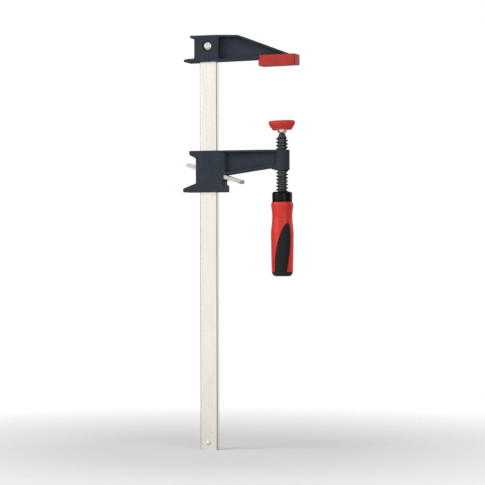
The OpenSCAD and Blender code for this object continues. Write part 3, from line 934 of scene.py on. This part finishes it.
class CLAMP_OT_stage(bpy.types.Operator):
    """Builds the pale floor, the soft lights and the camera"""
    bl_idname = "clamp.stage"
    bl_label = "Stage"
    bl_options = {"REGISTER", "UNDO"}

    def execute(self, context):
        low, high = CAD_BOX
        scene = context.scene
        scene.view_settings.view_transform = "Standard"
        bm = bmesh.new()
        bmesh.ops.create_circle(bm, cap_ends=True, segments=96, radius=FLOOR_RADIUS)
        mesh = bpy.data.meshes.new("floor")
        bm.to_mesh(mesh)
        bm.free()
        mesh.materials.append(finish_of("floor"))
        floor = bpy.data.objects.new("floor", mesh)
        scene.collection.objects.link(floor)
        middle = Vector((0.03, 0, (low.z + high.z) / 2))
        for name, power, size, away, azimuth, height in LIGHTS:
            self.light(name, power, size, middle, away, radians(azimuth), height)
        self.surroundings()
        self.camera()
        return {"FINISHED"}

    def light(self, name, power, size, middle, away, azimuth, height):
        """An oblong lamp turned to the middle of the clamp"""
        lamp = bpy.data.lights.new(name, "AREA")
        lamp.shape = "RECTANGLE"
        lamp.size, lamp.size_y = size
        lamp.energy = power
        spot = middle + Vector((away * sin(azimuth), -away * cos(azimuth), height))
        shown = bpy.data.objects.new(name, lamp)
        shown.location = spot
        shown.rotation_euler = (middle - spot).to_track_quat("-Z", "Y").to_euler()
        bpy.context.scene.collection.objects.link(shown)

    def surroundings(self):
        """White to the camera, and a soft grey tent to everything that the clamp reflects"""
        world = bpy.data.worlds.new("tent")
        bpy.context.scene.world = world
        world.use_nodes = True
        tree = world.node_tree
        tree.nodes.clear()
        place = add(tree, "TexCoord").outputs["Generated"]
        axes = add(tree, "SeparateXYZ", links={"Vector": place}).outputs
        depth = add(tree, "MapRange", between(0, 1, -1, 1), {"Value": axes["Y"]})
        height = add(tree, "MapRange", between(0, 1, -1, 1), {"Value": axes["Z"]})
        walls = add(tree, "ValToRGB", greys(*TENT_WALLS), {"Fac": depth})
        rise = add(tree, "ValToRGB", greys(*TENT_RISE), {"Fac": height})
        tent = add(tree, "Mix", {**MULTIPLY, 0: 1.0}, {6: walls, 7: rise}).outputs[2]
        # Low down behind the clamp the tent is darker, and the lower end of the bar's narrow side shows it
        behind = add(tree, "MapRange", between(0, 1, 0.4, 0.8), {"Value": axes["Y"]})
        low = add(tree, "MapRange", between(0, 1, -0.12, -0.088), {"Value": axes["Z"]})
        under = add(tree, "ValToRGB", greys((0, 0.3), (1, 1)), {"Fac": low})
        tent = add(tree, "Mix", MULTIPLY, {0: behind, 6: tent, 7: under}).outputs[2]
        lit = add(tree, "Background", {"Strength": 1.0}, {"Color": tent})
        seen = add(tree, "Background", {"Color": (1, 1, 1, 1), "Strength": 1.0})
        eye = add(tree, "LightPath").outputs["Is Camera Ray"]
        mixed = add(tree, "MixShader", links={0: eye, 1: lit, 2: seen})
        add(tree, "OutputWorld", links={"Surface": mixed})

    def camera(self):
        """A camera level with the middle of the bar, off to the throat side"""
        azimuth = radians(VIEW_TURN)
        back = Vector((sin(azimuth), -cos(azimuth), 0))
        right = Vector((cos(azimuth), sin(azimuth), 0))
        lens = bpy.data.cameras.new("camera")
        lens.lens = VIEW_LENS
        lens.clip_end = 50
        camera = bpy.data.objects.new("camera", lens)
        camera.location = back * VIEW_DISTANCE + right * VIEW_ASIDE + Vector((0, 0, VIEW_HEIGHT))
        aim = (-back).to_track_quat("-Z", "Y").to_matrix() @ Matrix.Rotation(radians(VIEW_ROLL), 3, "Z")
        camera.rotation_euler = aim.to_euler()
        bpy.context.scene.collection.objects.link(camera)
        bpy.context.scene.camera = camera


# The camera's turn and roll in degrees, its place in m and its lens in mm
VIEW_TURN = 18
VIEW_DISTANCE = 1.929
VIEW_ASIDE = 0.0312
VIEW_HEIGHT = 0.19665
VIEW_LENS = 150.8
VIEW_ROLL = -0.12
FLOOR_RADIUS = 0.6
# Name, power in W, size in m, distance in m, azimuth in degrees and height above the middle in m
LIGHTS = (
    ("key_light", 7.4, (0.8, 1.0), 1.3, -50, 0.55),
    ("fill_light", 4, (0.8, 1.2), 1.5, 46, 0.45),
    ("top_light", 1.8, (0.9, 0.9), 0.35, 10, 1.1),
    ("back_light", 1.5, (0.6, 1.2), 1.3, 128, 0.5),
)
# The tent's (place, grey) stops: from the front to behind the clamp, and from underfoot to overhead
TENT_WALLS = ((0, 1), (0.14, 0.95), (0.34, 0.22), (0.64, 0.2), (0.86, 0.7), (0.95, 1), (0.98, 1), (1, 0.5))
TENT_RISE = ((0, 0.85), (0.5, 0.97), (0.62, 0.93), (0.85, 0.8))

OPERATORS = (CLAMP_OT_castings, CLAMP_OT_bar, CLAMP_OT_rivet, CLAMP_OT_jaw_pad, CLAMP_OT_clutch,
             CLAMP_OT_screw, CLAMP_OT_swivel, CLAMP_OT_handle, CLAMP_OT_stage)


class CLAMP_PT_panel(bpy.types.Panel):
    """Lists the clamp's settings and build steps"""
    bl_idname = "CLAMP_PT_panel"
    bl_label = "F clamp"
    bl_space_type = "VIEW_3D"
    bl_region_type = "UI"
    bl_category = "F clamp"

    def draw(self, context):
        for group in (context.scene.clamp_sizes, context.scene.clamp_colours):
            box = self.layout.box()
            for name in type(group).__annotations__:
                box.prop(group, name)
        for step in OPERATORS:
            self.layout.operator(step.bl_idname)


CLASSES = (ClampSizes, ClampColours, *OPERATORS, CLAMP_PT_panel)


def register():
    """Adds the settings, the build steps and the panel."""
    for kind in CLASSES:
        bpy.utils.register_class(kind)
    bpy.types.Scene.clamp_sizes = PointerProperty(type=ClampSizes)
    bpy.types.Scene.clamp_colours = PointerProperty(type=ClampColours)


def unregister():
    """Takes them away again."""
    del bpy.types.Scene.clamp_colours
    del bpy.types.Scene.clamp_sizes
    for kind in reversed(CLASSES):
        bpy.utils.unregister_class(kind)


def main():
    """Builds every piece and the stage."""
    register()
    for step in OPERATORS:
        group, name = step.bl_idname.split(".")
        getattr(getattr(bpy.ops, group), name)()


if __name__ == "__main__":
    main()
